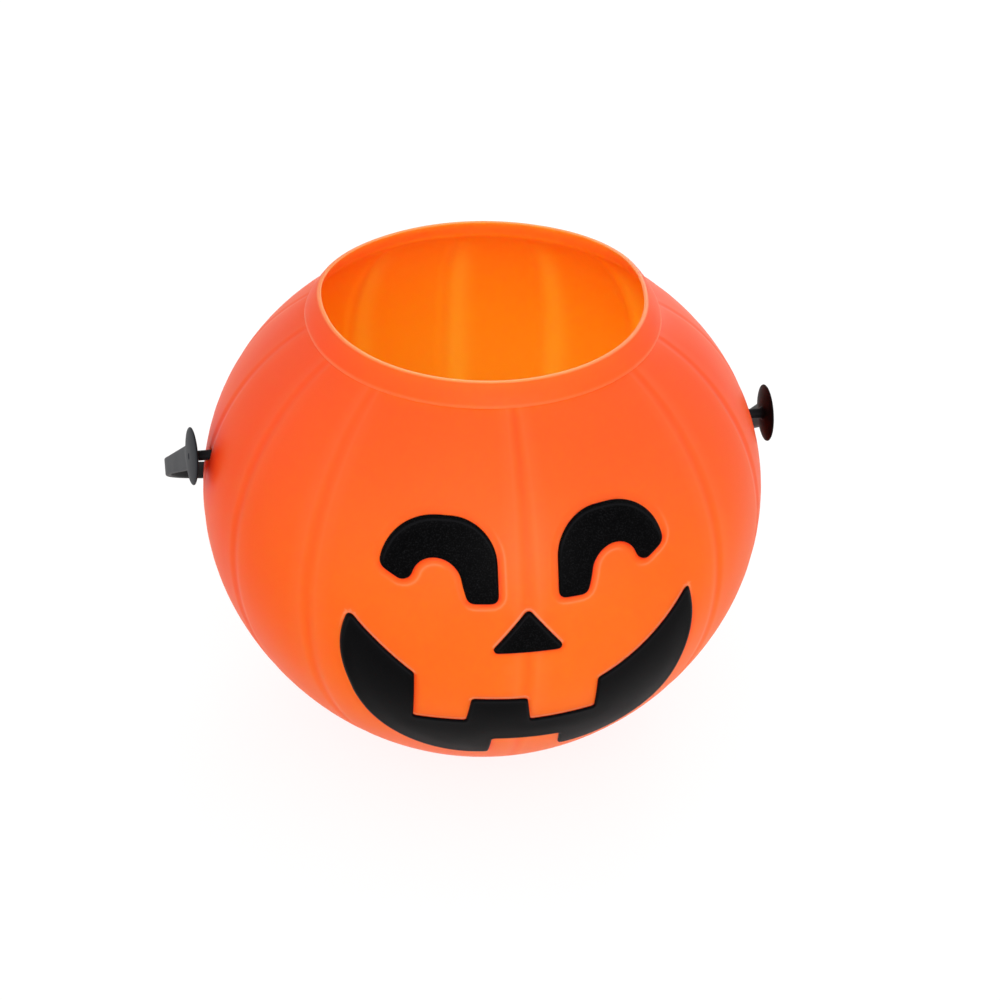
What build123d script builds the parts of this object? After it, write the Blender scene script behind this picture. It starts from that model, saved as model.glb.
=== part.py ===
"""Pumpkin candy pail: a blow-moulded shell with a painted relief face and a snap-in bail handle.

Millimetres, +Z up. The origin is the middle of the flat base, the face looks towards -Y and the
handle's ears are on -X and +X. Left and right are as seen by someone who looks at the face.
"""
import os
from math import asin, atan2, cos, degrees, hypot, radians, sin, sqrt

from build123d import *

# Shell wall: arcs that meet smoothly at the waist, a flat base, and a collar that leans inwards
BODY_RADIUS = 100.0
WAIST_HEIGHT = 86.0
SHOULDER_RADIUS = 82.4
BELLY_RADIUS = 89.0
BELLY_TURN = 23.0
LOWER_RADIUS = 107.5
BASE_FILLET = 3.0
WALL = 1.4
COLLAR_RADIUS = 62.0
COLLAR_HEIGHT = 7.7
RIM_RADIUS = 57.4

# Grooves between the pumpkin's lobes
GROOVE_COUNT = 16
GROOVE_WIDTH = 3.2
GROOVE_DEPTH = 0.9
GROOVE_TOP_GAP = 1.2
GROOVE_FOOT = 9.0

# Ears: the height of the handle's axis and the fit of its stems in the shell
EAR_HEIGHT = 106.9
STEM_RADIUS = 1.8
STEM_CLEARANCE = 0.3
SNAP_HEAD_RADIUS = 3.3
SNAP_HEAD_LENGTH = 4.5
SNAP_TIP_RADIUS = 1.2
SNAP_CLEARANCE = 0.4

# Handle: a flat strap with a round end plate that stands off the shell at each ear
STAND_OFF = 4.9
PLATE_RADIUS = 10.25
STRAP_THICKNESS = 2.0
STRAP_END_WIDTH = 9.2
STRAP_WIDTH = 6.6
BAIL_LENGTH = 181.0
LEG_SPLAY = 6.5
FLOOR_CLEARANCE = 0.3

# Face: raised figures, their heights counted from the waist
RELIEF = 2.0
EYE_GAP = 19.6
EYE_LEG_FOOT = 18.0
EYE_LEG_WIDTH = 9.6
EYE_TOP = 44.5
EYE_INNER_TURN = 13.5
EYE_CROWN = 3.7
EYE_OUTER_TURN = 20.2
EYE_END_HEIGHT = 27.5
EYE_ARCH_TOP = 32.6
EYE_ARCH_RADIUS = 8.3
EYE_CORNER = 1.6
NOSE_WIDTH = 23.8
NOSE_FOOT = -0.6
NOSE_TOP = 14.6
NOSE_CORNER = 0.8
MOUTH_CORNER = 0.9


def polar(centre, radius, angle):
    """Point on a circle, the angle in degrees from the radial direction towards +Z."""
    return (centre[0] + radius * cos(radians(angle)), centre[1] + radius * sin(radians(angle)))


# Centres of the wall's arcs, and the crease and rim of the collar, as (radius, height)
SHOULDER_CENTRE = (BODY_RADIUS - SHOULDER_RADIUS, WAIST_HEIGHT)
BELLY_CENTRE = (BODY_RADIUS - BELLY_RADIUS, WAIST_HEIGHT)
LOWER_CENTRE = polar(BELLY_CENTRE, BELLY_RADIUS - LOWER_RADIUS, -BELLY_TURN)
CREASE_HEIGHT = WAIST_HEIGHT + sqrt(SHOULDER_RADIUS**2 - (COLLAR_RADIUS - SHOULDER_CENTRE[0]) ** 2)
RIM_HEIGHT = CREASE_HEIGHT + COLLAR_HEIGHT


def shoulder_radius_at(height, shift=0.0):
    """Radius of the wall above the waist, with the wall moved outwards by shift."""
    rise = height - WAIST_HEIGHT
    return SHOULDER_CENTRE[0] + sqrt((SHOULDER_RADIUS + shift) ** 2 - rise**2)


def angle_from(centre, point):
    """Angle in degrees of a point seen from an arc's centre."""
    return degrees(atan2(point[1] - centre[1], point[0] - centre[0]))


def collar_line(shift):
    """Crease and rim points of the collar, with the wall moved outwards by shift."""
    length = hypot(COLLAR_RADIUS - RIM_RADIUS, COLLAR_HEIGHT)
    along = ((RIM_RADIUS - COLLAR_RADIUS) / length, COLLAR_HEIGHT / length)
    start = (COLLAR_RADIUS + shift * along[1], CREASE_HEIGHT - shift * along[0])
    reach = (start[0] - SHOULDER_CENTRE[0], start[1] - SHOULDER_CENTRE[1])
    half = reach[0] * along[0] + reach[1] * along[1]
    rest = reach[0] ** 2 + reach[1] ** 2 - (SHOULDER_RADIUS + shift) ** 2
    step = -half + sqrt(half**2 - rest)
    crease = (start[0] + step * along[0], start[1] + step * along[1])
    climb = (RIM_HEIGHT - start[1]) / along[1]
    return crease, (start[0] + climb * along[0], RIM_HEIGHT)


def wall_arcs(shift, foot, top):
    """The wall's three arcs, moved outwards by shift, from the height foot up to the point top."""
    low = LOWER_RADIUS + shift
    foot_angle = -degrees(asin((LOWER_CENTRE[1] - foot) / low))
    belly_end = polar(BELLY_CENTRE, BELLY_RADIUS + shift, -BELLY_TURN)
    waist = (BODY_RADIUS + shift, WAIST_HEIGHT)
    top_angle = angle_from(SHOULDER_CENTRE, top)
    return [
        ThreePointArc(
            polar(LOWER_CENTRE, low, foot_angle),
            polar(LOWER_CENTRE, low, (foot_angle - BELLY_TURN) / 2),
            belly_end,
        ),
        ThreePointArc(belly_end, polar(BELLY_CENTRE, BELLY_RADIUS + shift, -BELLY_TURN / 2), waist),
        ThreePointArc(
            waist,
            polar(SHOULDER_CENTRE, SHOULDER_RADIUS + shift, top_angle / 2),
            polar(SHOULDER_CENTRE, SHOULDER_RADIUS + shift, top_angle),
        ),
    ]


def body(shift):
    """Solid of the shell's outline, filled, with its wall and base moved outwards by shift."""
    crease, rim = collar_line(shift)
    arcs = wall_arcs(shift, -shift, crease)
    lower_end = arcs[0] @ 0
    edges = [
        Line((0, -shift), lower_end),
        *arcs,
        Line(arcs[2] @ 1, rim),
        Line(rim, (0, RIM_HEIGHT)),
        Line((0, RIM_HEIGHT), (0, -shift)),
    ]
    section = Plane.XZ * make_face(Curve() + edges)
    return revolve(section, Axis.Z)


def groove_bars(width, depth):
    """Bars along the grooves that reach this deep into the wall, in planes through the pail's axis."""
    start_radius = COLLAR_RADIUS + GROOVE_TOP_GAP
    top = (start_radius, WAIST_HEIGHT + sqrt(SHOULDER_RADIUS**2 - (start_radius - SHOULDER_CENTRE[0]) ** 2))
    floor = wall_arcs(-depth, GROOVE_FOOT, top)
    cover = wall_arcs(depth, GROOVE_FOOT, top)
    ends = [Line(floor[0] @ 0, cover[0] @ 0), Line(floor[2] @ 1, cover[2] @ 1)]
    bar = extrude(Plane.XZ * make_face(Curve() + floor + cover + ends), width / 2, both=True)
    turn = 360 / GROOVE_COUNT
    # The eyes lie where the two grooves beside the middle one would be
    beside_the_middle = (1, GROOVE_COUNT - 1)
    places = [k for k in range(GROOVE_COUNT) if k not in beside_the_middle]
    return [Rot(0, 0, k * turn - 90) * bar for k in places]


def pail_shell(grooved):
    """Even wall round the cavity, with the grooves showing as ridges inside, and the two ear holes."""
    cavity = body(-WALL) - groove_bars(GROOVE_WIDTH + 2 * WALL, GROOVE_DEPTH + WALL)
    hole = Pos(0, 0, EAR_HEIGHT) * Rot(0, 90, 0) * Cylinder(STEM_RADIUS + STEM_CLEARANCE, 3 * BODY_RADIUS)
    return grooved - cavity - hole


def figure(outline, grooved):
    """Raised figure of the face: the outline's prism between the shell and the relief's height."""
    prism = extrude(Plane.XZ * Pos(0, WAIST_HEIGHT) * outline, 2 * BODY_RADIUS)
    return (prism & body(RELIEF)) - grooved


def eye_outline():
    """Arched eye on the right: a leg beside the nose, a round crown and a short outer end."""
    inner = EYE_GAP / 2
    crown_start = inner + EYE_INNER_TURN
    crown_end = crown_start + EYE_CROWN
    outer_centre = (crown_end, EYE_TOP - EYE_OUTER_TURN)
    end_angle = degrees(asin((EYE_END_HEIGHT - outer_centre[1]) / EYE_OUTER_TURN))
    outer_end = polar(outer_centre, EYE_OUTER_TURN, end_angle)
    arch_left = inner + EYE_LEG_WIDTH + EYE_CORNER
    arch_centre = (arch_left + EYE_ARCH_RADIUS, EYE_ARCH_TOP - EYE_ARCH_RADIUS)
    arch_end = polar(arch_centre, EYE_ARCH_RADIUS, end_angle)
    tip = ((arch_end[0] + outer_end[0]) / 2 - EYE_CORNER, arch_end[1] - EYE_CORNER)
    shoulder_start = (inner, EYE_TOP - EYE_INNER_TURN)
    turn_middle = polar((crown_start, shoulder_start[1]), EYE_INNER_TURN, 135)
    outline = make_face(
        Curve()
        + [
            Line((inner, EYE_LEG_FOOT), shoulder_start),
            ThreePointArc(shoulder_start, turn_middle, (crown_start, EYE_TOP)),
            Line((crown_start, EYE_TOP), (crown_end, EYE_TOP)),
            ThreePointArc(
                (crown_end, EYE_TOP), polar(outer_centre, EYE_OUTER_TURN, (90 + end_angle) / 2), outer_end
            ),
            Line(outer_end, tip),
            Line(tip, arch_end),
            ThreePointArc(
                arch_end,
                polar(arch_centre, EYE_ARCH_RADIUS, (180 + end_angle) / 2),
                (arch_left, arch_centre[1]),
            ),
            Line((arch_left, arch_centre[1]), (inner + EYE_LEG_WIDTH, EYE_LEG_FOOT)),
            Line((inner + EYE_LEG_WIDTH, EYE_LEG_FOOT), (inner, EYE_LEG_FOOT)),
        ]
    )
    foot = outline.vertices().sort_by(Axis.Y)[:2]
    end = outline.vertices().sort_by(Axis.X)[-1:]
    return fillet(foot + end, EYE_CORNER)


def nose_outline():
    """Triangle with its point up."""
    half = NOSE_WIDTH / 2
    triangle = Polygon((-half, NOSE_FOOT), (half, NOSE_FOOT), (0, NOSE_TOP), align=None)
    return fillet(triangle.vertices(), NOSE_CORNER)


def mouth_outline():
    """Grin with two teeth hanging from the upper lip and one standing on the lower lip."""
    left_tip = (-57.3, 8.4)
    right_tip = (57.3, 8.4)
    lower_lip = [left_tip, (-60.3, -8.0), (-56.8, -25.0), (-49.0, -40.5), (-39.0, -50.5), (-9.6, -58.4)]
    lower_tooth = [(-9.6, -58.4), (-9.6, -46.8), (14.2, -47.6), (15.2, -57.6)]
    lower_lip_right = [(15.2, -57.6), (39.0, -51.2), (50.5, -41.5), (57.6, -25.0), (60.0, -8.0), right_tip]
    upper_lip_right = [right_tip, (42.0, -7.6), (25.2, -18.2)]
    teeth = [
        (25.2, -18.2),
        (25.2, -33.9),
        (2.4, -34.9),
        (0.6, -22.8),
        (-18.0, -22.2),
        (-19.2, -34.4),
        (-36.8, -34.6),
        (-37.2, -11.8),
    ]
    upper_lip_left = [(-37.2, -11.8), (-47.4, -2.2), left_tip]
    outline = make_face(
        Curve()
        + [
            Spline(*lower_lip),
            Polyline(*lower_tooth),
            Spline(*lower_lip_right),
            ThreePointArc(*upper_lip_right),
            Polyline(*teeth),
            ThreePointArc(*upper_lip_left),
        ]
    )
    return fillet(outline.vertices(), MOUTH_CORNER)


def bail_handle():
    """Strap with splayed legs and a round bend, its end plates, stems and snap heads in one moulding."""
    plate_middle = shoulder_radius_at(EAR_HEIGHT) + STAND_OFF + STRAP_THICKNESS / 2
    lean = radians(LEG_SPLAY)
    # The bend is tangent to both legs, so the leg's length follows from the bail's length
    spread = (1 + sin(lean)) / cos(lean)
    leg = (BAIL_LENGTH - plate_middle * spread) / (cos(lean) + sin(lean) * spread)
    bend_radius = (plate_middle + leg * sin(lean)) / cos(lean)
    tail = (plate_middle - PLATE_RADIUS * sin(lean), -PLATE_RADIUS * cos(lean))
    joint = (plate_middle + leg * sin(lean), leg * cos(lean))
    half = STRAP_THICKNESS / 2
    across = (half * cos(lean), -half * sin(lean))

    def ribbon_side(sign):
        start = (tail[0] + sign * across[0], tail[1] + sign * across[1])
        knee = (joint[0] + sign * across[0], joint[1] + sign * across[1])
        crown = (0, BAIL_LENGTH + sign * half)
        return start, knee, crown

    outer = ribbon_side(1)
    inner = ribbon_side(-1)
    edges = []
    for start, knee, crown in (outer, inner):
        edges.append(Line(start, knee))
        edges.append(ThreePointArc(knee, crown, (-knee[0], knee[1])))
        edges.append(Line((-knee[0], knee[1]), (-start[0], start[1])))
    edges.append(Line(outer[0], inner[0]))
    edges.append(Line((-outer[0][0], outer[0][1]), (-inner[0][0], inner[0][1])))
    ribbon = extrude(make_face(Curve() + edges), PLATE_RADIUS, both=True)

    # Side view of the strap, along X: end plate, taper along the leg, then an even width
    far = BAIL_LENGTH + STRAP_THICKNESS
    taper = Polygon(
        (0, -STRAP_END_WIDTH / 2),
        (joint[1], -STRAP_WIDTH / 2),
        (far, -STRAP_WIDTH / 2),
        (far, STRAP_WIDTH / 2),
        (joint[1], STRAP_WIDTH / 2),
        (0, STRAP_END_WIDTH / 2),
        align=None,
    )
    side_view = Plane.YZ * (Circle(PLATE_RADIUS) + taper)
    strap = ribbon & extrude(side_view, 2 * bend_radius, both=True)

    # Snap heads sit behind the inner wall, clear of the ridge that the ear's groove makes there
    wall_inside = shoulder_radius_at(EAR_HEIGHT + SNAP_HEAD_RADIUS, -WALL)
    head_start = wall_inside - GROOVE_DEPTH - SNAP_CLEARANCE
    stem_length = plate_middle - head_start
    stem = Pos(0, 0, head_start + stem_length / 2) * Cylinder(STEM_RADIUS, stem_length)
    head = Pos(0, 0, head_start - SNAP_HEAD_LENGTH / 2) * Cone(
        SNAP_TIP_RADIUS, SNAP_HEAD_RADIUS, SNAP_HEAD_LENGTH
    )
    stud = Rot(0, 90, 0) * (stem + head)
    handle = strap + stud + mirror(stud, Plane.YZ)

    # It hangs at the back with its far end just off the surface that the pail stands on
    reach = BAIL_LENGTH + half
    drop = EAR_HEIGHT - FLOOR_CLEARANCE
    tilt = degrees(asin(drop / hypot(reach, STRAP_WIDTH / 2)) - atan2(STRAP_WIDTH / 2, reach))
    print(f"handle hangs {tilt:.2f} degrees below level, bend radius {bend_radius:.2f}, leg {leg:.2f}")
    return Pos(0, 0, EAR_HEIGHT) * Rot(-tilt, 0, 0) * handle


def main():
    """Build every node and write one STEP file for each."""
    os.makedirs("parts", exist_ok=True)
    filled = body(0)
    filled = fillet(filled.edges().group_by(Axis.Z)[0], BASE_FILLET)
    grooved = filled - groove_bars(GROOVE_WIDTH, GROOVE_DEPTH)
    eye = eye_outline()
    nodes = {
        "pail_shell": pail_shell(grooved),
        "left_eye": figure(mirror(eye, Plane.YZ), grooved),
        "right_eye": figure(eye, grooved),
        "nose": figure(nose_outline(), grooved),
        "mouth": figure(mouth_outline(), grooved),
        "bail_handle": bail_handle(),
    }
    for name, shape in nodes.items():
        export_step(shape, f"parts/{name}.step")


main()
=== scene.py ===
import math

import bpy
import numpy as np
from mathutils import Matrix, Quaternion, Vector
from mathutils.geometry import delaunay_2d_cdt


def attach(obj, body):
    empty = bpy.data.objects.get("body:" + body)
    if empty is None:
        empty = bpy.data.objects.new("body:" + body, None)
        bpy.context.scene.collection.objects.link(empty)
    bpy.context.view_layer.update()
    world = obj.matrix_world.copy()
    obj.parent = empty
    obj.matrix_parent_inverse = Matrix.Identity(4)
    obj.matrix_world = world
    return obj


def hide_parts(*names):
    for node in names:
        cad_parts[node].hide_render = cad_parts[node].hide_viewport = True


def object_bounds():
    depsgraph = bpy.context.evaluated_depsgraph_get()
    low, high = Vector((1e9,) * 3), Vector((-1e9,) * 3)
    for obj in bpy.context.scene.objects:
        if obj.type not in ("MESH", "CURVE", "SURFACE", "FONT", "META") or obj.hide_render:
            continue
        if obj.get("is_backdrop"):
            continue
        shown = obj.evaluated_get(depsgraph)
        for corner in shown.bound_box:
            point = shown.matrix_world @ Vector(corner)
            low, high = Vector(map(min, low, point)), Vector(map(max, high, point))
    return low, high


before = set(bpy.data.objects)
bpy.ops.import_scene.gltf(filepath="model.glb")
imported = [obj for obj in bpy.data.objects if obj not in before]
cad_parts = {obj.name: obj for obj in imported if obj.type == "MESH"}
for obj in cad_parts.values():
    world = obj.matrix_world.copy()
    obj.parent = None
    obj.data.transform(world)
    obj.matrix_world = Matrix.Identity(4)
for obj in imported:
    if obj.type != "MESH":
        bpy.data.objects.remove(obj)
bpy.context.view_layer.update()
bpy.ops.object.select_all(action="DESELECT")

# Pail shell
# One blow moulding in orange polyethylene: an even wall, a flat base, lobes with shallow grooves
# between them, a collar round the opening with a trimmed rim, and a hole for the handle at each ear.
MM = 0.001
WALL = 1.4 * MM
BODY_RADIUS = 100 * MM
WAIST = 86 * MM
SHOULDER_ARC = 82.4 * MM
BELLY_ARC = 89 * MM
BELLY_TURN = math.radians(23)
LOWER_ARC = 107.5 * MM
BASE_FILLET = 3 * MM
COLLAR_RADIUS = 62 * MM
COLLAR_HEIGHT = 7.7 * MM
RIM_RADIUS = 57.4 * MM
CREASE_SOFTNESS = 0.8 * MM
CREASE_NOTCH = 0.2 * MM
COLLAR_BULGE = 0.6 * MM
BASE_RECESS = 0.6 * MM
EAR_HEIGHT = 106.9 * MM
EAR_HOLE_RADIUS = 2.1 * MM
LOBES = 16
FACE_LOBES = range(10, 14)
FRONT = -math.pi / 2
GROOVE_HALF = math.radians(2.1)
GROOVE_DEPTH = 0.45 * MM
GROOVE_FOOT = 9 * MM

shoulder_centre = (BODY_RADIUS - SHOULDER_ARC, WAIST)
belly_centre = (BODY_RADIUS - BELLY_ARC, WAIST)
lower_centre = (
    belly_centre[0] + (BELLY_ARC - LOWER_ARC) * math.cos(BELLY_TURN),
    belly_centre[1] - (BELLY_ARC - LOWER_ARC) * math.sin(BELLY_TURN),
)
crease_height = WAIST + math.sqrt(SHOULDER_ARC**2 - (COLLAR_RADIUS - shoulder_centre[0]) ** 2)
rim_height = crease_height + COLLAR_HEIGHT
knee_height = WAIST - BELLY_ARC * math.sin(BELLY_TURN)


def wall_arc(z):
    """Centre's radius, centre's height and radius of the wall's arc at each height."""
    upper, belly = z > WAIST, z > knee_height
    centre_r = np.where(upper, shoulder_centre[0], np.where(belly, belly_centre[0], lower_centre[0]))
    centre_z = np.where(belly, WAIST, lower_centre[1])
    radius = np.where(upper, SHOULDER_ARC, np.where(belly, BELLY_ARC, LOWER_ARC))
    return centre_r, centre_z, radius


def on_front(x, z, lift):
    """Points at these x and z on the front of the wall, with the wall moved outwards by lift."""
    centre_r, centre_z, radius = wall_arc(z)
    r = centre_r + np.sqrt((radius + lift) ** 2 - (z - centre_z) ** 2)
    return np.stack([x, -np.sqrt(r**2 - x**2), z], axis=1)


def arc(centre, radius, start, end, count):
    """Points on an arc of the wall's outline, without its first one."""
    turns = np.linspace(start, end, count + 1)[1:]
    return [(centre[0] + radius * math.cos(a), centre[1] + radius * math.sin(a)) for a in turns]


def draw(points):
    """New object with one chain of edges through the points, left in edit mode with its end selected."""
    bpy.ops.object.select_all(action="DESELECT")
    bpy.ops.mesh.primitive_plane_add(size=MM, location=points[0])
    bpy.ops.object.transform_apply(location=True)
    bpy.ops.object.mode_set(mode="EDIT")
    bpy.ops.mesh.select_all(action="SELECT")
    bpy.ops.mesh.merge(type="CENTER")
    for here, there in zip(points, points[1:]):
        step = Vector(there) - Vector(here)
        bpy.ops.mesh.extrude_region_move(TRANSFORM_OT_translate={"value": step})
    return bpy.context.object


def bowl(inset, base, recess, fillet):
    """Outline (r, z) of the body from the middle of its base to the shoulder, inset from the outside."""
    fillet_z = base + fillet
    fillet_arc = LOWER_ARC - inset - fillet
    fillet_r = lower_centre[0] + math.sqrt(fillet_arc**2 - (lower_centre[1] - fillet_z) ** 2)
    fillet_end = math.atan2(fillet_z - lower_centre[1], fillet_r - lower_centre[0])
    crease_turn = math.atan2(crease_height - WAIST, COLLAR_RADIUS - shoulder_centre[0])
    shoulder_end = crease_turn - CREASE_SOFTNESS / SHOULDER_ARC
    line = [(share * fillet_r, base + recess) for share in (0, 0.3, 0.6, 0.84)]
    line += [(share * fillet_r, base) for share in (0.87, 1)]
    line += arc((fillet_r, fillet_z), fillet, FRONT, fillet_end, 5)
    line += arc(lower_centre, LOWER_ARC - inset, fillet_end, -BELLY_TURN, 25)
    line += arc(belly_centre, BELLY_ARC - inset, -BELLY_TURN, 0, 13)
    return line + arc(shoulder_centre, SHOULDER_ARC - inset, 0, shoulder_end, 30)


def lathe(line):
    """New object: an outline (r, z) turned about the axis, finer at the grooves and the face."""
    piece = draw([(r, 0, z) for r, z in line])
    bpy.ops.mesh.select_all(action="SELECT")
    for lobe in range(LOBES):
        flank = (flank_turn, 6)
        middle = (lobe_turn - 2 * flank_turn, 14 if lobe in FACE_LOBES else 6)
        for turn, steps in (flank, middle, flank):
            bpy.ops.mesh.spin(steps=steps, angle=turn, center=(0, 0, 0), axis=(0, 0, 1))
    bpy.ops.mesh.select_all(action="SELECT")
    bpy.ops.mesh.remove_doubles(threshold=0.01 * MM)
    bpy.ops.mesh.normals_make_consistent(inside=False)
    bpy.ops.object.mode_set(mode="OBJECT")
    return piece


# The inner wall stays apart until the outside has its face
lobe_turn = 2 * math.pi / LOBES
flank_turn = 1.25 * GROOVE_HALF
lean = (RIM_RADIUS - COLLAR_RADIUS) / COLLAR_HEIGHT
inner_line = bowl(WALL, BASE_RECESS + WALL, 0, BASE_FILLET)
collar_inset = WALL * math.hypot(1, lean)
inner_line += [
    (COLLAR_RADIUS + lean * share * COLLAR_HEIGHT - collar_inset, crease_height + share * COLLAR_HEIGHT)
    for share in (0.12, 0.3, 0.5, 0.7, 0.88, 1)
]
outer_line = bowl(0, 0, BASE_RECESS, BASE_FILLET) + [(COLLAR_RADIUS - CREASE_NOTCH, crease_height)]
for share in (0.05, 0.11, 0.2, 0.35, 0.52, 0.7, 0.86, 0.95, 1):
    bulge = COLLAR_BULGE * math.sin(math.pi * share**0.7)
    radius = COLLAR_RADIUS + lean * share * COLLAR_HEIGHT + bulge
    outer_line.append((radius, crease_height + share * COLLAR_HEIGHT))
inner = lathe(inner_line)
shell = lathe(outer_line)
shell.name = "pail_shell_moulding"


def points_of(piece):
    """Vertex positions of a piece as an array."""
    flat = np.empty(len(piece.data.vertices) * 3, np.float32)
    piece.data.vertices.foreach_get("co", flat)
    return flat.reshape(-1, 3).astype(float)


def move_points(piece, places):
    """Puts a piece's vertices at these places."""
    piece.data.vertices.foreach_set("co", places.astype(np.float32).ravel())
    piece.data.update()


def ramp(value, start, end):
    """Smooth step from 0 at start to 1 at end."""
    t = np.clip((value - start) / (end - start), 0, 1)
    return t * t * (3 - 2 * t)


def soft_line(value, middle, width):
    """1 at the middle, fading to both sides over a width."""
    return np.exp(-(((value - middle) / width) ** 2))


def nearest_groove(x, y):
    """Number of the nearest groove, with 0 in the middle of the face, and the turn from it."""
    turn = np.arctan2(y, x) - FRONT
    groove = np.round(turn / lobe_turn)
    return groove, turn - groove * lobe_turn


def groove_start(z):
    """0 at the foot of the grooves and 1 where they are full."""
    return ramp(z, GROOVE_FOOT, GROOVE_FOOT + 14 * MM)


def below_collar(z):
    """0 on the body and 1 where the grooves run out at the collar."""
    return ramp(z, crease_height - 30 * MM, crease_height - 4 * MM)


def groove_dip(x, y, z):
    """Depth of the grooves: none over the eyes, and shallower at the collar, but for the middle one."""
    groove, turn = nearest_groove(x, y)
    off = np.abs(turn) / GROOVE_HALF
    dip = np.where(off < 1, np.cos(np.minimum(off, 1) * math.pi / 2) ** 2, 0)
    dip = np.where(np.abs(groove) == 1, 0, dip)
    fade = np.where(groove == 0, 0, 0.5) * below_collar(z)
    return GROOVE_DEPTH * dip * groove_start(z) * (1 - fade) * (z < crease_height)


SPACING = 0.45 * MM


def evenly(ring):
    """Points at even spacing along a closed line of points (x, z)."""
    corner = np.concatenate([ring, ring[:1]])
    along = np.concatenate([[0], np.cumsum(np.linalg.norm(np.diff(corner, axis=0), axis=1))])
    places = np.linspace(0, along[-1], int(along[-1] / SPACING) + 1)[:-1]
    return np.stack([np.interp(places, along, corner[:, k]) for k in (0, 1)], axis=1)


def eased(ring, length):
    """A closed line of points with its corners rounded over a length."""
    half = int(length / SPACING / 2)
    return np.mean([np.roll(ring, k, axis=0) for k in range(-half, half + 1)], axis=0)


def pick(piece):
    """Selects a piece alone and makes it the active one."""
    bpy.ops.object.select_all(action="DESELECT")
    piece.select_set(True)
    bpy.context.view_layer.objects.active = piece


def cad_outline(node):
    """Outline of a raised figure seen from the front, as evenly spaced points (x, z)."""
    copy = bpy.data.objects.new("outline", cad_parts[node].data.copy())
    bpy.context.collection.objects.link(copy)
    pick(copy)
    bpy.ops.object.mode_set(mode="EDIT")
    bpy.ops.mesh.select_all(action="SELECT")
    bpy.ops.mesh.remove_doubles(threshold=0.001 * MM)
    bpy.ops.mesh.select_all(action="DESELECT")
    bpy.ops.object.mode_set(mode="OBJECT")
    for face in copy.data.polygons:
        face.select = face.normal.y < -0.2
    bpy.ops.object.mode_set(mode="EDIT")
    bpy.ops.mesh.select_mode(type="FACE")
    bpy.ops.mesh.region_to_loop()
    bpy.ops.object.mode_set(mode="OBJECT")
    bpy.context.tool_settings.mesh_select_mode = (True, False, False)
    after = {}
    for edge in copy.data.edges:
        if edge.select:
            first, second = edge.vertices
            after.setdefault(first, []).append(second)
            after.setdefault(second, []).append(first)
    ring = [next(iter(after))]
    ring.append(after[ring[0]][0])
    while ring[-1] != ring[0]:
        near, far = after[ring[-1]]
        ring.append(far if near == ring[-2] else near)
    even = evenly(np.array([copy.data.vertices[i].co for i in ring[:-1]], float)[:, [0, 2]])
    bpy.data.objects.remove(copy)
    x, z = even.T
    area = np.sum(x * np.roll(z, -1) - np.roll(x, -1) * z)
    return even if area > 0 else even[::-1]


def nearest(outline, places):
    """Distance of points from an outline in the front view, negative inside it, and the way outwards."""
    start, end = outline, np.roll(outline, -1, axis=0)
    side = end - start
    level = np.where(side[:, 1] == 0, 1, side[:, 1])
    gaps, ways = [], []
    for first in range(0, len(places), 1500):
        some = places[first : first + 1500, None]
        t = np.clip(np.sum((some - start) * side, axis=2) / np.sum(side * side, axis=1), 0, 1)
        offset = some - start - t[..., None] * side
        length = np.linalg.norm(offset, axis=2)
        best = (np.arange(len(some)), length.argmin(axis=1))
        rise = (start[:, 1] > some[..., 1]) != (end[:, 1] > some[..., 1])
        cross = start[:, 0] + (some[..., 1] - start[:, 1]) / level * side[:, 0]
        inside = np.sum(rise & (some[..., 0] < cross), axis=1) % 2 == 1
        gap = np.where(inside, -1, 1) * length[best]
        gaps.append(gap)
        ways.append(offset[best] / np.where(np.abs(gap) < 1e-9, 1, gap)[:, None])
    return np.concatenate(gaps), np.concatenate(ways)


def moved_outline(outline, reach):
    """Outline moved outwards by reach, without the points that fold over."""
    along = np.roll(outline, -1, axis=0) - np.roll(outline, 1, axis=0)
    along /= np.linalg.norm(along, axis=1)[:, None]
    moved = outline + reach * np.stack([along[:, 1], -along[:, 0]], axis=1)
    return moved[np.abs(nearest(outline, moved)[0] - reach) < 0.03 * MM]


RELIEF = 1.4 * MM
PAINT = 0.45 * MM
MOAT_DEPTH = 0.15 * MM
LIP_HEIGHT = 0.06 * MM
LIP_AT = 2.5 * MM
MOUTH_TIP_CORNER = 3.6 * MM
MOUTH_TIP_RISE = 0.7 * MM

# Each figure with its corners as round as moulded, a little larger and lower for its shallow relief
outlines = {}
for name, grow, shift, drop, corner in (
    ("left_eye", 0.3 * MM, -0.35 * MM, 1.0 * MM, 3.2 * MM),
    ("right_eye", 0.25 * MM, 0.5 * MM, 0.8 * MM, 3.2 * MM),
    ("nose", 0.55 * MM, -0.2 * MM, 1.0 * MM, 1.4 * MM),
    ("mouth", 0.15 * MM, -0.2 * MM, 1.2 * MM, 1.6 * MM),
):
    is_mouth = name == "mouth"
    outline = cad_outline(name)
    round_tip = ramp(outline[:, 0], -50 * MM, -57 * MM)[:, None] * is_mouth
    outline = (1 - round_tip) * eased(outline, corner) + round_tip * eased(outline, MOUTH_TIP_CORNER)
    outline = evenly(moved_outline(evenly(outline), grow)) + np.array([shift, -drop])
    rise = MOUTH_TIP_RISE * ramp(outline[:, 0], -54 * MM, -58 * MM)
    outline[:, 1] += rise * ramp(outline[:, 1], 55 * MM, 62 * MM) * is_mouth
    outlines[name] = outline


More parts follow.
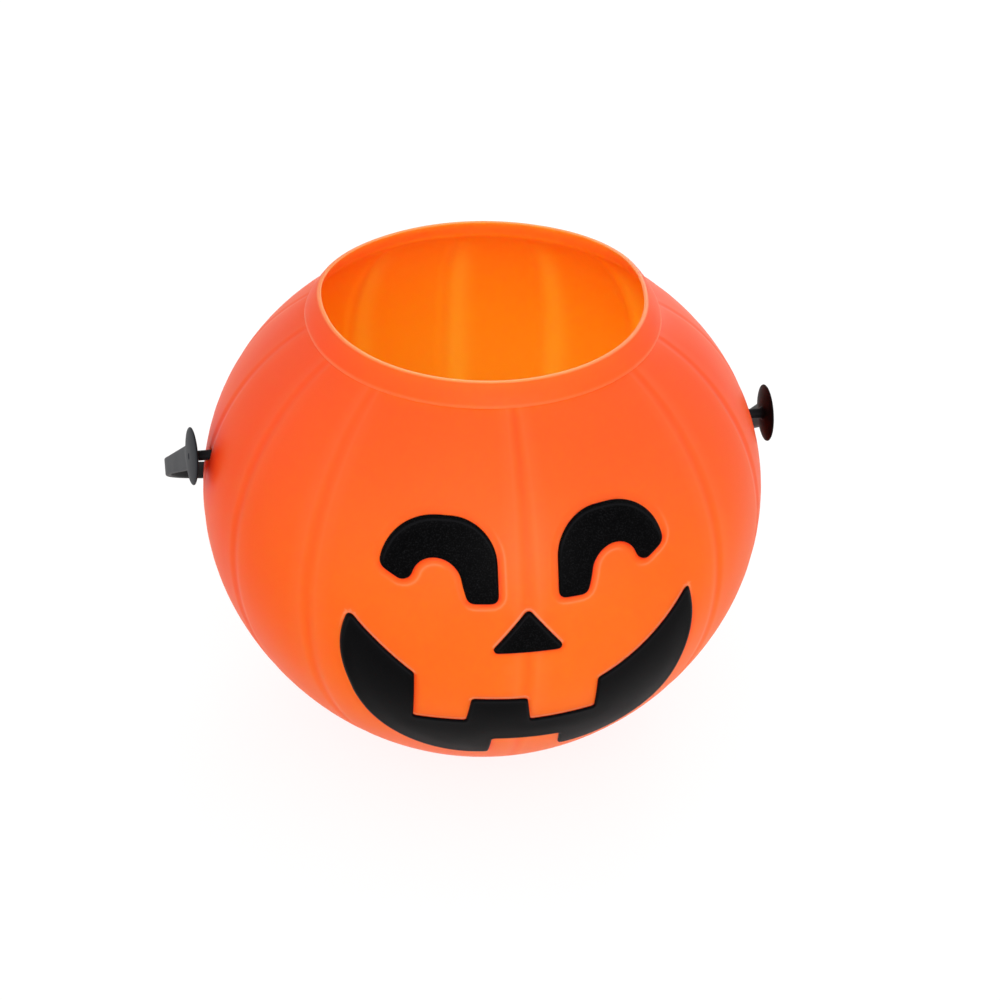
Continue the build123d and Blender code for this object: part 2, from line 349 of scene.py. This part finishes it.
def to_figures(x, y, z):
    """Gap of points to the nearest figure, negative under it, the way off it, and 1 if it is an eye."""
    gap, way, eye = np.full(len(x), 1.0), np.zeros((len(x), 2)), np.zeros(len(x))
    front = np.flatnonzero((y < -30 * MM) & (np.abs(x) < 80 * MM) & (z > 15 * MM) & (z < 145 * MM))
    places = np.stack([x[front], z[front]], axis=1)
    for name, outline in outlines.items():
        here, there = nearest(outline, places)
        closer = here < gap[front]
        gap[front[closer]] = here[closer]
        way[front[closer]] = there[closer]
        eye[front[closer]] = "eye" in name
    return gap, way, eye


def push_front(piece, lift_of):
    """Moves a wall straight to the front by what lift_of gives for each gap to the figures."""
    places = points_of(piece)
    gap, _, eye = to_figures(*places.T)
    near = gap < 6 * MM
    x, _, z = places[near].T
    lift = lift_of(gap[near], eye[near])
    places[near, 1] += on_front(x, z, lift)[:, 1] - on_front(x, z, 0)[:, 1]
    move_points(piece, places)


def face_lift(gap, eye):
    """Height of the outside: steep ground under the paint, and a moat with a lip round the eyes."""
    lip = LIP_HEIGHT * soft_line(gap, LIP_AT, 0.5 * MM)
    moat = -MOAT_DEPTH * ramp(gap, 2.5 * MM, 1.0 * MM)
    ground = RELIEF - PAINT + eye * MOAT_DEPTH
    return eye * (lip + moat) + ground * ramp(gap, 0.22 * MM, -0.8 * MM)


def press_wall(piece, lift_of):
    """Moves a piece's wall along its normals by what lift_of gives for each point."""
    places = points_of(piece)
    x, y, z = places.T
    r = np.maximum(np.hypot(x, y), 0.001 * MM)
    centre_r, centre_z, radius = wall_arc(z)
    out = np.stack([x / r * (r - centre_r), y / r * (r - centre_r), z - centre_z], axis=1)
    out /= np.linalg.norm(out, axis=1)[:, None]
    move_points(piece, places + out * lift_of(x, y, z)[:, None])


# The outside opens round the figures, and a patch whose edges follow their outlines closes it again
PATCH_REACH = 5.2 * MM
places = points_of(shell)
gap = to_figures(*places.T)[0]
pick(shell)
for face in shell.data.polygons:
    face.select = bool(gap[list(face.vertices)].min() < PATCH_REACH)
opened = np.array([face.select for face in shell.data.polygons])
times_kept, times_opened = {}, {}
for face in shell.data.polygons:
    count = times_opened if opened[face.index] else times_kept
    for key in face.edge_keys:
        count[key] = count.get(key, 0) + 1
border = [key for key in times_kept if key in times_opened]
border_points = sorted({i for key in border for i in key})
freed = {i for face in shell.data.polygons if opened[face.index] for i in face.vertices}
freed = sorted(freed - set(border_points))
loose = [i for i in freed if gap[i] > 3.9 * MM or gap[i] < -2.4 * MM]
seeds = [places[border_points + loose][:, [0, 2]]]
for name, outline in outlines.items():
    reaches = (1.5, 1.9, 2.2, 2.4, 2.6, 2.85, 3.3) if "eye" in name else (1.8, 3.0)
    for reach in (-1.6, -0.8, -0.5, -0.25, 0, 0.22, 0.5, 1.0, *reaches):
        seeds.append(moved_outline(outline, reach * MM)[::2])
seeds = np.concatenate(seeds)
number = {vertex: k for k, vertex in enumerate(border_points)}
flat, _, triangles, _, _, _ = delaunay_2d_cdt(
    [Vector(p) for p in seeds], [(number[a], number[b]) for a, b in border], [], 2, 1e-7
)
flat = np.array([tuple(p) for p in flat])
patch = bpy.data.objects.new("face_patch", bpy.data.meshes.new("face_patch"))
curved = on_front(flat[:, 0], flat[:, 1], 0)
patch.data.from_pydata([tuple(p) for p in curved], [], [tuple(t) for t in triangles])
bpy.context.collection.objects.link(patch)
bpy.context.tool_settings.mesh_select_mode = (False, False, True)
bpy.ops.object.mode_set(mode="EDIT")
bpy.ops.mesh.delete(type="FACE")
bpy.ops.object.mode_set(mode="OBJECT")
patch.select_set(True)
bpy.ops.object.join()
bpy.ops.object.mode_set(mode="EDIT")
bpy.ops.mesh.select_mode(type="VERT")
bpy.ops.mesh.select_all(action="SELECT")
bpy.ops.mesh.remove_doubles(threshold=0.02 * MM)
bpy.ops.object.mode_set(mode="OBJECT")
push_front(shell, face_lift)
push_front(inner, lambda gap, eye: (RELIEF - PAINT) * ramp(gap, 0.4 * MM, -2.6 * MM))


def lay_mask(piece, name, values):
    """Keeps a value for each point of a piece under a name, for its material to read."""
    mask = piece.data.attributes.get(name) or piece.data.attributes.new(name, "FLOAT", "POINT")
    mask.data.foreach_set("value", values.astype(np.float32))


for side, is_inside in ((shell, 0.0), (inner, 1.0)):
    press_wall(side, lambda x, y, z: -groove_dip(x, y, z))
    lay_mask(side, "inside", np.full(len(side.data.vertices), is_inside))

# The rim is trimmed level with a knife, and the opening has sprung a little out of round
pick(inner)
bpy.ops.object.mode_set(mode="EDIT")
bpy.ops.mesh.select_all(action="SELECT")
bpy.ops.mesh.flip_normals()
bpy.ops.object.mode_set(mode="OBJECT")
shell.select_set(True)
bpy.context.view_layer.objects.active = shell
bpy.ops.object.join()
bpy.ops.object.mode_set(mode="EDIT")
bpy.ops.mesh.select_all(action="DESELECT")
bpy.ops.mesh.select_non_manifold(
    extend=False, use_wire=False, use_multi_face=False, use_non_contiguous=False, use_verts=False
)
bpy.ops.transform.resize(value=(1, 1, 0), center_override=(0, 0, rim_height))
bpy.ops.mesh.select_mode(type="EDGE")
bpy.ops.mesh.bridge_edge_loops()
bpy.ops.mesh.region_to_loop()
bpy.ops.mesh.bevel(offset=0.55 * MM, segments=3, affect="EDGES")
bpy.ops.mesh.select_mode(type="VERT")
bpy.ops.object.mode_set(mode="OBJECT")
places = points_of(shell)
oval = ramp(places[:, 2], 146 * MM, rim_height)
places[:, 0] *= 1 + oval * (0.03 * ramp(places[:, 1], -10 * MM, 25 * MM) - 0.014)
places[:, 1] *= 1 + oval * (0.024 - 0.05 * ramp(places[:, 1], 20 * MM, 55 * MM))
move_points(shell, places)

# One drill goes through both ears
bpy.ops.mesh.primitive_cylinder_add(
    vertices=48,
    radius=EAR_HOLE_RADIUS,
    depth=2.4 * BODY_RADIUS,
    location=(0, 0, EAR_HEIGHT),
    rotation=(0, math.pi / 2, 0),
)
drill = bpy.context.object
bpy.ops.object.transform_apply(location=True, rotation=True)
bpy.context.view_layer.objects.active = shell
holes = shell.modifiers.new("ear_holes", "BOOLEAN")
holes.operation = "DIFFERENCE"
holes.solver = "EXACT"
holes.object = drill
bpy.ops.object.modifier_apply(modifier=holes.name)
bpy.data.objects.remove(drill)
pick(shell)
bpy.ops.object.shade_smooth_by_angle(angle=math.radians(38))

# Painted highlights where light catches an edge: the lit side of the lips of the eyes' moats, the upper
# edges of the other figures, the rim, the bead above the crease and the flanks of the grooves
x, y, z = points_of(shell).T
gap, way, eye = to_figures(x, y, z)
inside = np.empty(len(x), np.float32)
shell.data.attributes["inside"].data.foreach_get("value", inside)
from_ear = np.hypot(y, z - EAR_HEIGHT)
wall_depth = SHOULDER_ARC - np.hypot(np.hypot(x, y) - shoulder_centre[0], z - WAIST)
inside = np.where(from_ear < 9 * MM, wall_depth > WALL / 2, inside)
outside = 1 - inside
groove, turn = nearest_groove(x, y)
off = np.abs(turn) / GROOVE_HALF
grooved = (np.abs(groove) != 1) * groove_start(z) * (z < crease_height + 0.01 * MM)
halo = 0.35 * eye * soft_line(gap, LIP_AT, 0.42 * MM) * ramp(way[:, 0] - way[:, 1], 0, 1)
brow = 0.9 * (1 - eye) * soft_line(gap, 0.4 * MM, 0.35 * MM) * ramp(way[:, 1], 0.1, 0.5)
rim = 0.5 * ramp(z, rim_height - 0.35 * MM, rim_height - 0.05 * MM)
bead = soft_line(z, crease_height + 0.6 * MM, 0.35 * MM) * (0.3 + 0.3 * ramp(np.abs(x), 36 * MM, 58 * MM))
flank = 0.08 * grooved * soft_line(off, 1, 0.4)
lay_mask(shell, "lip", np.clip((halo + brow + bead + flank) * outside + rim, 0, 1))

# Painted shade, redder: contact shadows below the figures, shade in the moats, the plates' shadow round
# the ears, shade in the grooves, and darker on the left inside
under = soft_line(np.maximum(gap, 0), 0, 1.1 * MM) * ramp(0.35 * way[:, 0] - way[:, 1], -0.1, 0.6)
ditch = 0.1 * eye * ramp(gap, 2.6 * MM, 1.2 * MM)
ear = ramp(from_ear, 24 * MM, 4 * MM)
crease = 0.12 * grooved * soft_line(off, 0, 0.35) * (1 + np.where(groove == 0, 1, -0.5) * below_collar(z))
left_inside_shade = 0.22 * ramp(x, 5 * MM, -60 * MM)
lay_mask(shell, "shade", np.clip((under + ditch + ear + crease) * outside + left_inside_shade * inside, 0, 1))

# Painted shade, deeper in colour at the shoulder, down the sides through both ears, and next to the base
top = ramp(z, 95 * MM, 150 * MM)
sideways = x**2 / np.maximum(x**2 + y**2, 1e-9)
sides_shade = np.minimum(1.1 * (1 - (1 - sideways) ** 0.4), 0.66) * (1 - 0.5 * top) * ramp(z, 0, 8 * MM)
top_and_side_shade = 0.4 * top + sides_shade + 0.12 * ramp(z, 40 * MM, 15 * MM)
lay_mask(shell, "top_and_side_shade", np.clip(top_and_side_shade, 0, 1) * outside)

# Painted light: paler bands beside the ridges inside, where light comes through the wall
light_streak = soft_line(turn / lobe_turn, -0.14, 0.12) * ramp(z, 20 * MM, 60 * MM) * ramp(z, 154 * MM, 125 * MM)
lay_mask(shell, "light_streak", light_streak * inside)
lay_mask(shell, "inside", inside)

# Slow mottling and a fine skin texture, which every plastic here has in its own measure
mottle = bpy.data.node_groups.new("moulded_skin", "ShaderNodeTree")
for socket, kind in (("Blotch Size", "NodeSocketFloat"), ("Grain Size", "NodeSocketFloat")):
    mottle.interface.new_socket(socket, in_out="INPUT", socket_type=kind)
for socket in ("Blotch", "Grain"):
    mottle.interface.new_socket(socket, in_out="OUTPUT", socket_type="NodeSocketFloat")


def add(tree, kind, **values):
    """Adds a node with these settings, and these values on its inputs."""
    made = tree.nodes.new(kind)
    for name, value in values.items():
        if hasattr(made, name):
            setattr(made, name, value)
        else:
            made.inputs[name.replace("_", " ")].default_value = value
    return made


group_in = add(mottle, "NodeGroupInput")
group_out = add(mottle, "NodeGroupOutput")
where = add(mottle, "ShaderNodeTexCoord")
for socket, detail in (("Blotch", 2.0), ("Grain", 4.0)):
    frequency = add(mottle, "ShaderNodeMath", operation="DIVIDE")
    frequency.inputs[0].default_value = 1
    noise = add(mottle, "ShaderNodeTexNoise", Detail=detail)
    mottle.links.new(group_in.outputs[socket + " Size"], frequency.inputs[1])
    mottle.links.new(frequency.outputs[0], noise.inputs["Scale"])
    mottle.links.new(where.outputs["Object"], noise.inputs["Vector"])
    mottle.links.new(noise.outputs["Fac"], group_out.inputs[socket])


def plastic(name, blotch, grain, depth, dark, pale, gloss):
    """Moulded plastic: sizes of blotch and grain, the grain's depth, two tints and two roughnesses."""
    material = bpy.data.materials.new(name)
    material.use_nodes = True
    tree = material.node_tree
    shader = tree.nodes["Principled BSDF"]
    skin = add(tree, "ShaderNodeGroup", node_tree=mottle)
    skin.inputs["Blotch Size"].default_value = blotch
    skin.inputs["Grain Size"].default_value = grain
    tint = add(tree, "ShaderNodeMix", data_type="RGBA")
    tint.inputs[6].default_value = (*dark, 1)
    tint.inputs[7].default_value = (*pale, 1)
    rough = add(tree, "ShaderNodeMapRange", To_Min=gloss[0], To_Max=gloss[1])
    bump = add(tree, "ShaderNodeBump", Strength=1.0, Distance=depth)
    tree.links.new(skin.outputs["Blotch"], tint.inputs[0])
    tree.links.new(skin.outputs["Blotch"], rough.inputs["Value"])
    tree.links.new(skin.outputs["Grain"], bump.inputs["Height"])
    tree.links.new(tint.outputs[2], shader.inputs["Base Color"])
    tree.links.new(rough.outputs["Result"], shader.inputs["Roughness"])
    tree.links.new(bump.outputs["Normal"], shader.inputs["Normal"])
    return material, tree, shader, tint, skin


def painted_mask(tree, name):
    """Output that gives the named mask."""
    return add(tree, "ShaderNodeAttribute", attribute_name=name).outputs["Fac"]


def tinted(tree, shader, tint, mask, colour, share):
    """Lays a colour over the tint by a share of the mask."""
    amount = add(tree, "ShaderNodeMath", operation="MULTIPLY")
    amount.inputs[1].default_value = share
    over = add(tree, "ShaderNodeMix", data_type="RGBA")
    over.inputs[7].default_value = (*colour, 1)
    tree.links.new(mask, amount.inputs[0])
    tree.links.new(amount.outputs[0], over.inputs[0])
    tree.links.new(tint.outputs[2], over.inputs[6])
    tree.links.new(over.outputs[2], shader.inputs["Base Color"])
    return over


orange, tree, shader, tint, _ = plastic(
    "orange_polyethylene",
    blotch=45 * MM,
    grain=1.6 * MM,
    depth=0.015 * MM,
    dark=(0.99, 0.13, 0.01),
    pale=(1.0, 0.165, 0.014),
    gloss=(0.4, 0.5),
)
shader.inputs["Specular IOR Level"].default_value = 0.15
shader.inputs["Subsurface Weight"].default_value = 1.0
shader.inputs["Subsurface Radius"].default_value = (1.0, 1.0, 0.4)
shader.inputs["Subsurface Scale"].default_value = 8 * MM
for mask, colour, share in (
    # painted shade at the shoulder, the sides and the base
    ("top_and_side_shade", (1.0, 0.055, 0.014), 1.0),
    # painted light: the inside paler and yellower, as lit through the wall
    ("inside", (1.0, 0.19, 0.03), 1.0),
    # painted light beside the ridges inside
    ("light_streak", (1.0, 0.34, 0.09), 0.6),
    # painted shade and shadows in narrow places and behind the plates
    ("shade", (1.0, 0.03, 0.004), 0.85),
    # painted highlights along edges, the rim and the bead
    ("lip", (1.0, 0.36, 0.2), 0.75),
):
    tint = tinted(tree, shader, tint, painted_mask(tree, mask), colour, share)
shell.data.materials.clear()
shell.data.materials.append(orange)
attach(shell, "pail")
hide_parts("pail_shell")

# Face figures
# Raised parts of the moulding under black paint, with rounded edges that run down into the moat.
# The paint is a thin closed skin here, one for each eye, the nose and the mouth.
ROUNDING = 1.0 * MM
EDGE_HEIGHT = 0.9 * MM
CROWN = 0.15 * MM
GRID = 2.2 * MM
EDGE_ROWS = (0.04, 0.13, 0.27, 0.45, 0.7, 1.0, 1.35)

paint, tree, shader, tint, skin = plastic(
    "black_face_paint",
    blotch=12 * MM,
    grain=0.5 * MM,
    depth=0.05 * MM,
    dark=(0.0005, 0.0005, 0.0006),
    pale=(0.001, 0.001, 0.0012),
    gloss=(0.32, 0.44),
)
shader.inputs["Specular IOR Level"].default_value = 0.02
# Painted sheen: a paler black where the sheen mask says
tint = tinted(tree, shader, tint, painted_mask(tree, "sheen"), (0.012, 0.012, 0.0135), 1.0)
# Pale specks on the peaks of the paint's grain: painted glints of light on the grain
peaks = add(tree, "ShaderNodeMapRange", From_Min=0.5, From_Max=0.8)
tree.links.new(skin.outputs["Grain"], peaks.inputs["Value"])
grain = add(tree, "ShaderNodeMath", operation="MULTIPLY")
tree.links.new(peaks.outputs["Result"], grain.inputs[0])
tree.links.new(painted_mask(tree, "grain_glints"), grain.inputs[1])
tinted(tree, shader, tint, grain.outputs[0], (0.01, 0.01, 0.011), 1.0)

for name, outline in outlines.items():
    rows = [moved_outline(outline, -share * ROUNDING) for share in EDGE_ROWS]
    low, high = outline.min(axis=0), outline.max(axis=0)
    columns = np.arange(low[0], high[0], GRID)
    levels = np.arange(low[1], high[1], GRID)
    grid = np.stack(np.meshgrid(columns, levels), axis=-1).reshape(-1, 2)
    grid = grid[nearest(outline, grid)[0] < -EDGE_ROWS[-1] * ROUNDING - 0.7 * MM]
    seeds = np.concatenate([outline, *rows, grid])
    ring = [(k, (k + 1) % len(outline)) for k in range(len(outline))]
    flat, _, triangles, _, _, _ = delaunay_2d_cdt([Vector(p) for p in seeds], ring, [], 1, 1e-7)
    flat = np.array([tuple(p) for p in flat])
    skin = bpy.data.objects.new(name + "_paint", bpy.data.meshes.new(name + "_paint"))
    skin.data.from_pydata([(x, 0, z) for x, z in flat], [], [tuple(t) for t in triangles])
    bpy.context.collection.objects.link(skin)
    pick(skin)
    bpy.ops.object.mode_set(mode="EDIT")
    bpy.ops.mesh.select_all(action="SELECT")
    bpy.ops.mesh.extrude_region_move(TRANSFORM_OT_translate={"value": (0, PAINT, 0)})
    bpy.ops.mesh.select_all(action="SELECT")
    bpy.ops.mesh.normals_make_consistent(inside=False)
    bpy.ops.object.mode_set(mode="OBJECT")
    places = points_of(skin)
    gap, way = nearest(outline, places[:, [0, 2]])
    depth = np.maximum(-gap, 0)
    share = np.minimum(depth / ROUNDING, 1)
    top = EDGE_HEIGHT * np.sqrt(1 - (1 - share) ** 2) + CROWN * ramp(depth, ROUNDING, 8 * MM) - CROWN
    lift = RELIEF - EDGE_HEIGHT + np.where(places[:, 1] < PAINT / 2, top, -CROWN - 0.06 * MM)
    move_points(skin, on_front(places[:, 0], places[:, 2], lift))
    # Painted highlight along the upper crest of the rounded edge; on the mouth a painted sheen, left off a
    # band along its lower edge
    crest = soft_line(depth, 0.9 * MM, 0.3 * MM) * ramp(way[:, 1], -0.1, 0.5)
    band = ramp(depth, 3.8 * MM, 1.2 * MM) * ramp(way[:, 1], 0.15, -0.15)
    lay_mask(skin, "sheen", np.clip(0.6 * crest + 0.12 * (1 - band) * (name == "mouth"), 0, 1))
    lay_mask(skin, "grain_glints", np.full(len(depth), 0.25 if name == "mouth" else 1.0))
    bpy.ops.object.shade_smooth_by_angle(angle=math.radians(60))
    skin.data.materials.clear()
    skin.data.materials.append(paint)
    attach(skin, "pail")
    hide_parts(name)

# Bail handle
# One black polyethylene moulding: a flat strap with a round plate at each end, a stem on each plate
# that goes through the shell's ear hole, and a snap head behind the wall. It hangs behind the pail.
STAND_OFF = 4.9 * MM
PLATE_RADIUS = 10.25 * MM
STRAP_THICKNESS = 2.0 * MM
STRAP_END_WIDTH = 9.2 * MM
STRAP_WIDTH = 6.6 * MM
BAIL_LENGTH = 181 * MM
LEG_SPLAY = math.radians(6.5)
STEM_RADIUS = 1.8 * MM
FLOOR_CLEARANCE = 0.3 * MM

ear_radius = shoulder_centre[0] + math.sqrt(SHOULDER_ARC**2 - (EAR_HEIGHT - WAIST) ** 2)
plate_middle = ear_radius + STAND_OFF + STRAP_THICKNESS / 2
spread = (1 + math.sin(LEG_SPLAY)) / math.cos(LEG_SPLAY)
leg = (BAIL_LENGTH - plate_middle * spread) / (math.cos(LEG_SPLAY) + math.sin(LEG_SPLAY) * spread)
bend_radius = (plate_middle + leg * math.sin(LEG_SPLAY)) / math.cos(LEG_SPLAY)
half_length = leg + bend_radius * (math.pi / 2 + LEG_SPLAY)
reach = BAIL_LENGTH + STRAP_THICKNESS / 2
tilt = math.asin((EAR_HEIGHT - FLOOR_CLEARANCE) / math.hypot(reach, STRAP_WIDTH / 2))
tilt -= math.atan2(STRAP_WIDTH / 2, reach)

# Half of the strap is cut from a flat sheet, a little too long at first
upper = [(half_length + 3 * MM, STRAP_WIDTH / 2), (leg, STRAP_WIDTH / 2), (0, STRAP_END_WIDTH / 2)]
outline = upper + [(s, -w) for s, w in reversed(upper)]
handle = draw([(s, w, -STRAP_THICKNESS / 2) for s, w in outline])
handle.name = "bail_handle_moulding"
bpy.ops.mesh.select_all(action="SELECT")
bpy.ops.mesh.edge_face_add()
bpy.ops.mesh.extrude_region_move(TRANSFORM_OT_translate={"value": (0, 0, STRAP_THICKNESS - 0.05 * MM)})
bpy.ops.mesh.select_all(action="SELECT")
bpy.ops.mesh.normals_make_consistent(inside=False)
bpy.ops.mesh.select_all(action="DESELECT")
bpy.ops.object.mode_set(mode="OBJECT")
corners = handle.data.vertices
for edge in handle.data.edges:
    a, b = (corners[i].co for i in edge.vertices)
    edge.select = abs(a.z - b.z) < 0.1 * MM and abs(a.x - b.x) > 0.1 * MM
bpy.ops.object.mode_set(mode="EDIT")
bpy.ops.mesh.select_mode(type="EDGE")
bpy.ops.mesh.bevel(offset=0.55 * MM, segments=3, affect="EDGES")
bpy.ops.mesh.select_mode(type="VERT")
for cut in np.arange(4 * MM, half_length - 2 * MM, 4.5 * MM):
    bpy.ops.mesh.select_all(action="SELECT")
    bpy.ops.mesh.bisect(plane_co=(cut, 0, 0), plane_no=(1, 0, 0))
bpy.ops.mesh.select_all(action="SELECT")
bpy.ops.mesh.bisect(plane_co=(half_length, 0, 0), plane_no=(1, 0, 0), clear_outer=True)
bpy.ops.mesh.select_all(action="DESELECT")
bpy.ops.object.mode_set(mode="OBJECT")

# The sheet is laid along the leg and round the bend, and mirrored at the bend's middle
s, w, t = points_of(handle).T
turn = np.maximum(s - leg, 0) / bend_radius - LEG_SPLAY
straight = np.minimum(s, leg) - leg
bend_middle = BAIL_LENGTH - bend_radius
across = bend_radius * np.cos(turn) + straight * math.sin(LEG_SPLAY) + t * np.cos(turn)
away = bend_middle + bend_radius * np.sin(turn) + straight * math.cos(LEG_SPLAY) + t * np.sin(turn)
across = np.where(s > half_length - 0.01 * MM, 0, across)
move_points(handle, np.stack([across, away, w], axis=1))
mirror = handle.modifiers.new("other_half", "MIRROR")
mirror.use_clip = True
mirror.merge_threshold = 0.05 * MM
bpy.ops.object.modifier_apply(modifier=mirror.name)

# Plate with a thin edge and a gate mark, stem and snap head, turned about the ear's axis. The strap hangs
# a little askew on its loose stems, so the left plate stands further open than the right one
PLATE_HALF = STRAP_THICKNESS / 2 + 0.15 * MM
GATE_MARK = 0.35 * MM
HEAD_RADIUS = 3.3 * MM
inner_arc = SHOULDER_ARC - WALL
wall_inside = shoulder_centre[0] + math.sqrt(inner_arc**2 - (EAR_HEIGHT + HEAD_RADIUS - WAIST) ** 2)
head_start = wall_inside - 1.3 * MM
plate_face = plate_middle + PLATE_HALF
plate_line = [
    (PLATE_HALF, 1.25 * MM),
    (PLATE_HALF, 4 * MM),
    (0.95 * MM, 6.5 * MM),
    (0.7 * MM, 8.6 * MM),
    (0.42 * MM, PLATE_RADIUS - 0.25 * MM),
    (0.2 * MM, PLATE_RADIUS),
    (-0.05 * MM, PLATE_RADIUS - 0.05 * MM),
    (-0.2 * MM, PLATE_RADIUS - 0.4 * MM),
    (-0.5 * MM, 8.6 * MM),
    (-0.8 * MM, 6.5 * MM),
    (-PLATE_HALF, 4 * MM),
]
stem_line = [
    (plate_middle - PLATE_HALF, STEM_RADIUS + 0.7 * MM),
    (plate_middle - 1.5 * MM, STEM_RADIUS + 0.3 * MM),
    (plate_middle - 2.1 * MM, STEM_RADIUS),
]
head_line = [
    (head_start, STEM_RADIUS),
    (head_start, HEAD_RADIUS - 0.3 * MM),
    (head_start - 0.3 * MM, HEAD_RADIUS),
    (head_start - 0.8 * MM, HEAD_RADIUS - 0.1 * MM),
    (head_start - 4.1 * MM, 1.5 * MM),
    (head_start - 4.5 * MM, 1.0 * MM),
    (head_start - 4.5 * MM, 0),
]
stud_line = [(plate_face - GATE_MARK, 0), (plate_face - GATE_MARK, 1.0 * MM)]
stud_line += [(plate_middle + lift, r) for lift, r in plate_line] + stem_line + head_line
for side, turn in ((1, math.radians(-2)), (-1, math.radians(9))):
    stud = draw([(side * x, 0, r) for x, r in stud_line])
    bpy.ops.mesh.select_all(action="SELECT")
    bpy.ops.mesh.spin(steps=56, angle=2 * math.pi, center=(0, 0, 0), axis=(1, 0, 0))
    bpy.ops.mesh.select_all(action="SELECT")
    bpy.ops.mesh.remove_doubles(threshold=0.01 * MM)
    bpy.ops.mesh.normals_make_consistent(inside=False)
    bpy.ops.object.mode_set(mode="OBJECT")
    places = points_of(stud)
    on_plate = ramp(np.abs(places[:, 0]), plate_middle - 2.2 * MM, plate_middle - PLATE_HALF)
    places[:, 0] += side * math.tan(turn) * places[:, 1] * on_plate
    move_points(stud, places)
    bpy.context.view_layer.objects.active = handle
    union = handle.modifiers.new("stud", "BOOLEAN")
    union.operation = "UNION"
    union.solver = "EXACT"
    union.object = stud
    bpy.ops.object.modifier_apply(modifier=union.name)
    bpy.data.objects.remove(stud)

# Painted sheen: the faces that point away from the pail are greyer, those that face it stay black
x, y, z = points_of(handle).T
past_bend = np.maximum(y - bend_middle, 0)
facing = np.array([tuple(corner.normal) for corner in handle.data.vertices])
outer = (facing[:, 0] * x + facing[:, 1] * past_bend) / np.maximum(np.hypot(x, past_bend), 0.001 * MM)
lay_mask(handle, "outer_face_sheen", ramp(outer, 0.1, 0.8))

# The whole handle is tipped back about the ears until its far end is just above the floor
hang = np.stack([
    x,
    y * math.cos(tilt) + z * math.sin(tilt),
    EAR_HEIGHT - y * math.sin(tilt) + z * math.cos(tilt),
], axis=1)
move_points(handle, hang)
pick(handle)
bpy.ops.object.shade_smooth_by_angle(angle=math.radians(35))

black, tree, shader, tint, _ = plastic(
    "black_polyethylene",
    blotch=15 * MM,
    grain=0.9 * MM,
    depth=0.02 * MM,
    dark=(0.002, 0.0022, 0.0026),
    pale=(0.004, 0.0043, 0.005),
    gloss=(0.4, 0.5),
)
shader.inputs["Specular IOR Level"].default_value = 0.04
# painted sheen on the faces that point away from the pail
tinted(tree, shader, tint, painted_mask(tree, "outer_face_sheen"), (0.034, 0.036, 0.042), 0.75)
handle.data.materials.clear()
handle.data.materials.append(black)
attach(handle, "handle")
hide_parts("bail_handle")

# Stage
# A plain white floor that runs out of sight, soft light from all round, and the camera.
bpy.ops.mesh.primitive_plane_add(size=12, location=(0, 0, -0.2 * MM))
floor = bpy.context.object
floor.name = "floor"
white = bpy.data.materials.new("white_floor")
white.use_nodes = True
tree = white.node_tree
shader = tree.nodes["Principled BSDF"]
shader.inputs["Roughness"].default_value = 0.9
shader.inputs["Specular IOR Level"].default_value = 0.1
shader.inputs["Emission Color"].default_value = (1, 1, 1, 1)


def in_sight(tree):
    """Output that is 1 for what the camera sees, also in gloss and through glass, and 0 for other light."""
    path = add(tree, "ShaderNodeLightPath")
    seen = path.outputs["Is Camera Ray"]
    for ray in ("Is Glossy Ray", "Is Transmission Ray"):
        either = add(tree, "ShaderNodeMath", operation="MAXIMUM")
        tree.links.new(seen, either.inputs[0])
        tree.links.new(path.outputs[ray], either.inputs[1])
        seen = either.outputs[0]
    return seen


sight = in_sight(tree)
for socket, unseen, seen in (("Emission Strength", 0.0, 0.86), ("Base Color", 0.85, 0.17)):
    level = add(tree, "ShaderNodeMapRange", To_Min=unseen, To_Max=seen)
    tree.links.new(sight, level.inputs["Value"])
    tree.links.new(level.outputs["Result"], shader.inputs[socket])
floor.data.materials.append(white)
floor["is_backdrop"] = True

world = bpy.data.worlds.new("studio")
bpy.context.scene.world = world
world.use_nodes = True
tree = world.node_tree
sky = tree.nodes["Background"]
sky.inputs["Color"].default_value = (1, 1, 1, 1)
level = add(tree, "ShaderNodeMapRange", To_Min=0.88, To_Max=1.0)
tree.links.new(in_sight(tree), level.inputs["Value"])
tree.links.new(level.outputs["Result"], sky.inputs["Strength"])


def lamp(name, place, aim, size, power):
    """Square soft box that looks at a point."""
    light = bpy.data.lights.new(name, "AREA")
    light.size = size
    light.energy = power
    stand = bpy.data.objects.new(name, light)
    bpy.context.collection.objects.link(stand)
    stand.location = place
    stand.rotation_euler = (Vector(aim) - Vector(place)).to_track_quat("-Z", "Y").to_euler()


lamp("key_light", (-0.6, -1.4, 1.3), (0, 0, 0.08), 0.7, 2)
lamp("low_fill", (0.1, -1.5, 0.25), (0, 0, 0.06), 1.0, 10)
lamp("back_light", (0.5, 1.0, 0.5), (0.02, 0.08, 0.1), 0.5, 4)
bpy.context.scene.cycles.max_bounces = 32
bpy.context.scene.cycles.diffuse_bounces = 32

AZIMUTH = math.radians(-9.18)
ELEVATION = math.radians(33.15)
ROLL = math.radians(0.536)
AIM = Vector((0, 0, 80 * MM))
FOCAL_PIXELS = 2767.5
back = Vector((
    math.sin(AZIMUTH) * math.cos(ELEVATION),
    -math.cos(AZIMUTH) * math.cos(ELEVATION),
    math.sin(ELEVATION),
))
camera = bpy.data.objects.new("camera", bpy.data.cameras.new("camera"))
bpy.context.collection.objects.link(camera)
camera.data.sensor_width = 36
camera.data.lens = 36 * FOCAL_PIXELS / 1000
camera.data.shift_x = 0.01803
camera.data.shift_y = -0.00267
camera.location = AIM + back
camera.rotation_mode = "QUATERNION"
camera.rotation_quaternion = (-back).to_track_quat("-Z", "Y") @ Quaternion((0, 0, 1), ROLL)
camera.data.clip_end = 100
bpy.context.scene.camera = camera
bpy.context.scene.view_settings.view_transform = "Standard"

low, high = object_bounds()
